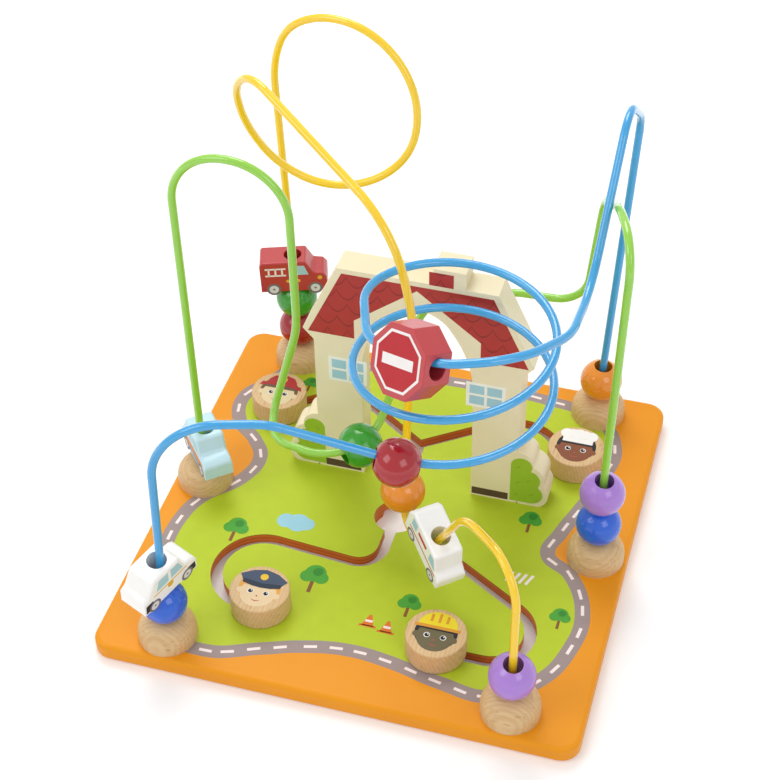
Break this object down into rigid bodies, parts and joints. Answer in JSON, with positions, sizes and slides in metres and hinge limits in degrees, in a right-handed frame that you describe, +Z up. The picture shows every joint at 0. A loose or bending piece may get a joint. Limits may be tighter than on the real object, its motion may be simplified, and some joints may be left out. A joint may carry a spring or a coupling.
{
  "type": "wire bead maze",
  "caption": "Wooden wire bead maze: a square slotted board with sliding figures, a house with an arch, and bent coated wires that carry beads, vehicles and a road sign.",
  "frame": {"origin": "centre of the board's underside", "axes": "+Z up, -Y towards the front where the builder figure is, +X to the right"},
  "size_m": [0.3, 0.3044, 0.2993],
  "materials": {
    "board_ply": "satin lacquer",
    "beech": "fine sanded",
    "house_wood": "satin lacquer",
    "screw_steel": "plain",
    "blue_coating": "gloss coating on steel wire",
    "green_coating": "gloss coating on steel wire",
    "yellow_coating": "gloss coating on steel wire",
    "guide_plastic": "moulded",
    "blue_lacquer": "gloss lacquer",
    "lavender_lacquer": "gloss lacquer",
    "orange_lacquer": "gloss lacquer",
    "red_lacquer": "gloss lacquer",
    "green_lacquer": "gloss lacquer",
    "white_lacquer": "satin lacquer",
    "light_blue_lacquer": "satin lacquer",
    "fire_red_lacquer": "satin lacquer"
  },
  "bodies": {
    "base": {"base_board": "board_ply", "post_front_left": "beech", "post_middle_left": "beech", "post_back_left": "beech", "post_back_right": "beech", "post_middle_right": "beech", "post_front_right": "beech", "post_screws": "screw_steel", "blue_wire": "blue_coating", "green_wire": "green_coating", "yellow_wire": "yellow_coating", "house_board": "house_wood", "house_screws": "screw_steel"},
    "police_guide": {"police_guide": "guide_plastic"},
    "police_figure": {"police_figure": "beech", "police_screw": "screw_steel"},
    "builder_guide": {"builder_guide": "guide_plastic"},
    "builder_figure": {"builder_figure": "beech", "builder_screw": "screw_steel"},
    "chef_guide": {"chef_guide": "guide_plastic"},
    "chef_figure": {"chef_figure": "beech", "chef_screw": "screw_steel"},
    "firefighter_guide": {"firefighter_guide": "guide_plastic"},
    "firefighter_figure": {"firefighter_figure": "beech", "firefighter_screw": "screw_steel"},
    "blue_bead_front_left": {"blue_bead_front_left": "blue_lacquer"},
    "police_car": {"police_car": "white_lacquer"},
    "red_bead_centre": {"red_bead_centre": "red_lacquer"},
    "road_sign": {"road_sign": "red_lacquer"},
    "orange_bead_back_right": {"orange_bead_back_right": "orange_lacquer"},
    "blue_car": {"blue_car": "light_blue_lacquer"},
    "green_bead_centre": {"green_bead_centre": "green_lacquer"},
    "blue_bead_middle_right": {"blue_bead_middle_right": "blue_lacquer"},
    "lavender_bead_middle_right": {"lavender_bead_middle_right": "lavender_lacquer"},
    "red_bead_back_left": {"red_bead_back_left": "red_lacquer"},
    "green_bead_back_left": {"green_bead_back_left": "green_lacquer"},
    "fire_engine": {"fire_engine": "fire_red_lacquer"},
    "orange_bead_centre": {"orange_bead_centre": "orange_lacquer"},
    "ambulance": {"ambulance": "white_lacquer"},
    "lavender_bead_front_right": {"lavender_bead_front_right": "lavender_lacquer"}
  },
  "joints": [
    {"name": "blue_bead_front_left_slide", "type": "slide", "parent": "base", "child": "blue_bead_front_left", "axis": [0.0325, 0, 0.9995], "range_m": [0, 0.035]},
    {"name": "police_car_slide", "type": "slide", "parent": "blue_bead_front_left", "child": "police_car", "axis": [0.0325, 0, 0.9995], "range_m": [0, 0.035]},
    {"name": "red_bead_back_left_slide", "type": "slide", "parent": "base", "child": "red_bead_back_left", "axis": [-0.0363, 0, 0.9993], "range_m": [0, 0.04]},
    {"name": "green_bead_back_left_slide", "type": "slide", "parent": "red_bead_back_left", "child": "green_bead_back_left", "axis": [-0.0363, 0, 0.9993], "range_m": [0, 0.04]},
    {"name": "fire_engine_slide", "type": "slide", "parent": "green_bead_back_left", "child": "fire_engine", "axis": [-0.0363, 0, 0.9993], "range_m": [0, 0.04]},
    {"name": "blue_bead_middle_right_slide", "type": "slide", "parent": "base", "child": "blue_bead_middle_right", "axis": [0.0158, 0.0181, 0.9997], "range_m": [0, 0.06]},
    {"name": "lavender_bead_middle_right_slide", "type": "slide", "parent": "blue_bead_middle_right", "child": "lavender_bead_middle_right", "axis": [0.0158, 0.0181, 0.9997], "range_m": [0, 0.06]},
    {"name": "blue_car_slide", "type": "slide", "parent": "base", "child": "blue_car", "axis": [-0.0083, 0, 1], "range_m": [0, 0.12]},
    {"name": "lavender_bead_front_right_slide", "type": "slide", "parent": "base", "child": "lavender_bead_front_right", "axis": [0, 0, 1], "range_m": [0, 0.04]},
    {"name": "orange_bead_back_right_slide", "type": "slide", "parent": "base", "child": "orange_bead_back_right", "axis": [0.0446, -0.0134, 0.9989], "range_m": [0, 0.12]},
    {"name": "orange_bead_centre_slide", "type": "slide", "parent": "base", "child": "orange_bead_centre", "axis": [0.0421, 0, 0.9991], "range_m": [0, 0.12]},
    {"name": "ambulance_slide", "type": "slide", "parent": "base", "child": "ambulance", "axis": [0.3537, -0.4058, 0.8427], "range_m": [0, 0.03]},
    {"name": "red_bead_centre_turn", "type": "hinge", "parent": "base", "child": "red_bead_centre", "pos_m": [0.04881, -0.11308, 0.22533], "axis": [0.1367, -0.9345, -0.3287], "range_deg": [-12, 0]},
    {"name": "green_bead_centre_turn", "type": "hinge", "parent": "base", "child": "green_bead_centre", "pos_m": [-0.04791, 0.01304, 0.08778], "axis": [0.0265, -0.2561, 0.9663], "range_deg": [0, 25]},
    {"name": "road_sign_turn", "type": "hinge", "parent": "base", "child": "road_sign", "pos_m": [0.03234, -0.07861, 0.22243], "axis": [0.8538, -0.4542, 0.2543], "continuous": true},
    {"name": "police_guide_run", "type": "hinge", "parent": "base", "child": "police_guide", "pos_m": [-0.068, -0.068, 0], "axis": [0, 0, 1], "range_deg": [-195, 0]},
    {"name": "builder_guide_run", "type": "slide", "parent": "base", "child": "builder_guide", "axis": [1, 0, 0], "range_m": [0, 0.026]},
    {"name": "chef_guide_run", "type": "slide", "parent": "base", "child": "chef_guide", "axis": [-0.7071, 0.7071, 0], "range_m": [0, 0.026]},
    {"name": "firefighter_guide_run", "type": "slide", "parent": "base", "child": "firefighter_guide", "axis": [0.7986, 0.6018, 0], "range_m": [0, 0.03]},
    {"name": "police_figure_turn", "type": "hinge", "parent": "police_guide", "child": "police_figure", "pos_m": [-0.05902, -0.09452, 0.02], "axis": [0, 0, 1], "continuous": true},
    {"name": "builder_figure_turn", "type": "hinge", "parent": "builder_guide", "child": "builder_figure", "pos_m": [0.053, -0.099, 0.02], "axis": [0, 0, 1], "continuous": true},
    {"name": "chef_figure_turn", "type": "hinge", "parent": "chef_guide", "child": "chef_figure", "pos_m": [0.10101, 0.07741, 0.02], "axis": [0, 0, 1], "continuous": true},
    {"name": "firefighter_figure_turn", "type": "hinge", "parent": "firefighter_guide", "child": "firefighter_figure", "pos_m": [-0.10441, 0.0771, 0.02], "axis": [0, 0, 1], "continuous": true}
  ]
}
